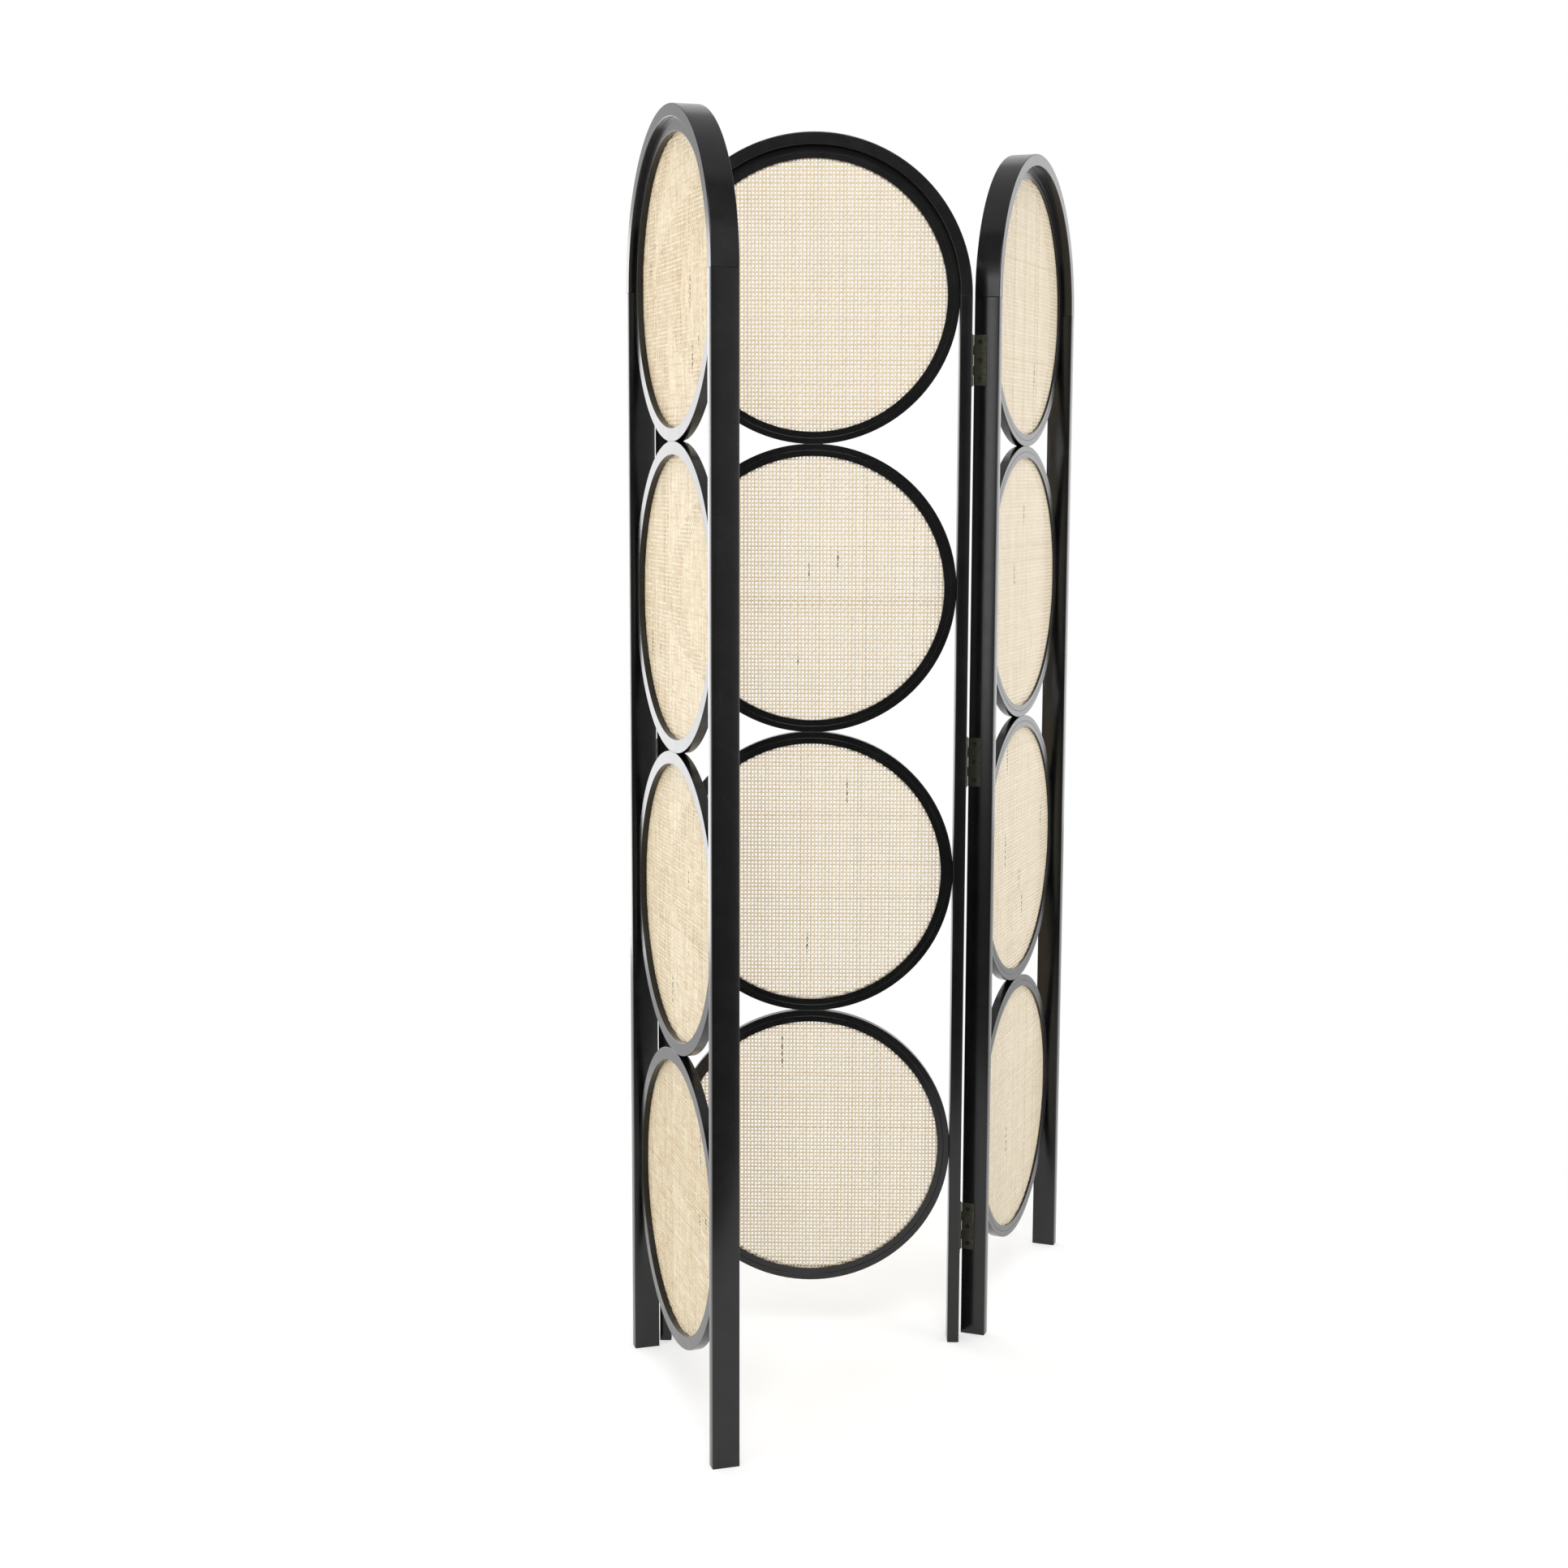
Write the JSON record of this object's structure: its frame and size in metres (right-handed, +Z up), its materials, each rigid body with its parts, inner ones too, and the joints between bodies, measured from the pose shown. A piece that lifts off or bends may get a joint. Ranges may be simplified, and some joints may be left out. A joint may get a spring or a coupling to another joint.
{
  "type": "folding partition screen",
  "caption": "Free-standing folding screen of arched lacquered-wood panels, each a stack of cane-filled rings, joined by butt hinges into a zigzag.",
  "frame": {"origin": "on the floor, at the centre of the plan that the screen covers as it stands in the picture", "axes": "+Z up; +X along the middle panel, towards its right stile as seen from the front; +Y towards the back"},
  "size_m": [0.6936, 0.9226, 1.7983],
  "materials": {
    "black_lacquered_wood": "satin",
    "woven_cane": "matt",
    "bare_wood": "matt",
    "aged_brass": "satin"
  },
  "bodies": {
    "left_panel": {"left_panel_arch": "black_lacquered_wood", "left_panel_left_stile": "black_lacquered_wood", "left_panel_right_stile": "black_lacquered_wood", "left_panel_ring_1": "black_lacquered_wood", "left_panel_cane_1": "woven_cane", "left_panel_bead_1": "black_lacquered_wood", "left_panel_ring_2": "black_lacquered_wood", "left_panel_cane_2": "woven_cane", "left_panel_bead_2": "black_lacquered_wood", "left_panel_ring_3": "black_lacquered_wood", "left_panel_cane_3": "woven_cane", "left_panel_bead_3": "black_lacquered_wood", "left_panel_ring_4": "black_lacquered_wood", "left_panel_cane_4": "woven_cane", "left_panel_bead_4": "black_lacquered_wood", "left_panel_dowels": "bare_wood", "left_hinge_side_leaves": "aged_brass", "left_hinge_side_screws": "aged_brass"},
    "middle_panel": {"middle_panel_arch": "black_lacquered_wood", "middle_panel_left_stile": "black_lacquered_wood", "middle_panel_right_stile": "black_lacquered_wood", "middle_panel_ring_1": "black_lacquered_wood", "middle_panel_cane_1": "woven_cane", "middle_panel_bead_1": "black_lacquered_wood", "middle_panel_ring_2": "black_lacquered_wood", "middle_panel_cane_2": "woven_cane", "middle_panel_bead_2": "black_lacquered_wood", "middle_panel_ring_3": "black_lacquered_wood", "middle_panel_cane_3": "woven_cane", "middle_panel_bead_3": "black_lacquered_wood", "middle_panel_ring_4": "black_lacquered_wood", "middle_panel_cane_4": "woven_cane", "middle_panel_bead_4": "black_lacquered_wood", "middle_panel_dowels": "bare_wood", "left_hinge_middle_leaves": "aged_brass", "left_hinge_pins": "aged_brass", "left_hinge_middle_screws": "aged_brass", "right_hinge_middle_leaves": "aged_brass", "right_hinge_pins": "aged_brass", "right_hinge_middle_screws": "aged_brass"},
    "right_panel": {"right_panel_arch": "black_lacquered_wood", "right_panel_left_stile": "black_lacquered_wood", "right_panel_right_stile": "black_lacquered_wood", "right_panel_ring_1": "black_lacquered_wood", "right_panel_cane_1": "woven_cane", "right_panel_bead_1": "black_lacquered_wood", "right_panel_ring_2": "black_lacquered_wood", "right_panel_cane_2": "woven_cane", "right_panel_bead_2": "black_lacquered_wood", "right_panel_ring_3": "black_lacquered_wood", "right_panel_cane_3": "woven_cane", "right_panel_bead_3": "black_lacquered_wood", "right_panel_ring_4": "black_lacquered_wood", "right_panel_cane_4": "woven_cane", "right_panel_bead_4": "black_lacquered_wood", "right_panel_dowels": "bare_wood", "right_hinge_side_leaves": "aged_brass", "right_hinge_side_screws": "aged_brass"}
  },
  "joints": [
    {"name": "left_fold", "type": "hinge", "parent": "middle_panel", "child": "left_panel", "pos_m": [-0.30853, -0.0127, 0], "axis": [0, 0, 1], "range_deg": [-108, 72]},
    {"name": "right_fold", "type": "hinge", "parent": "middle_panel", "child": "right_panel", "pos_m": [0.15167, 0.0318, 0], "axis": [0, 0, 1], "range_deg": [-70, 110]}
  ]
}
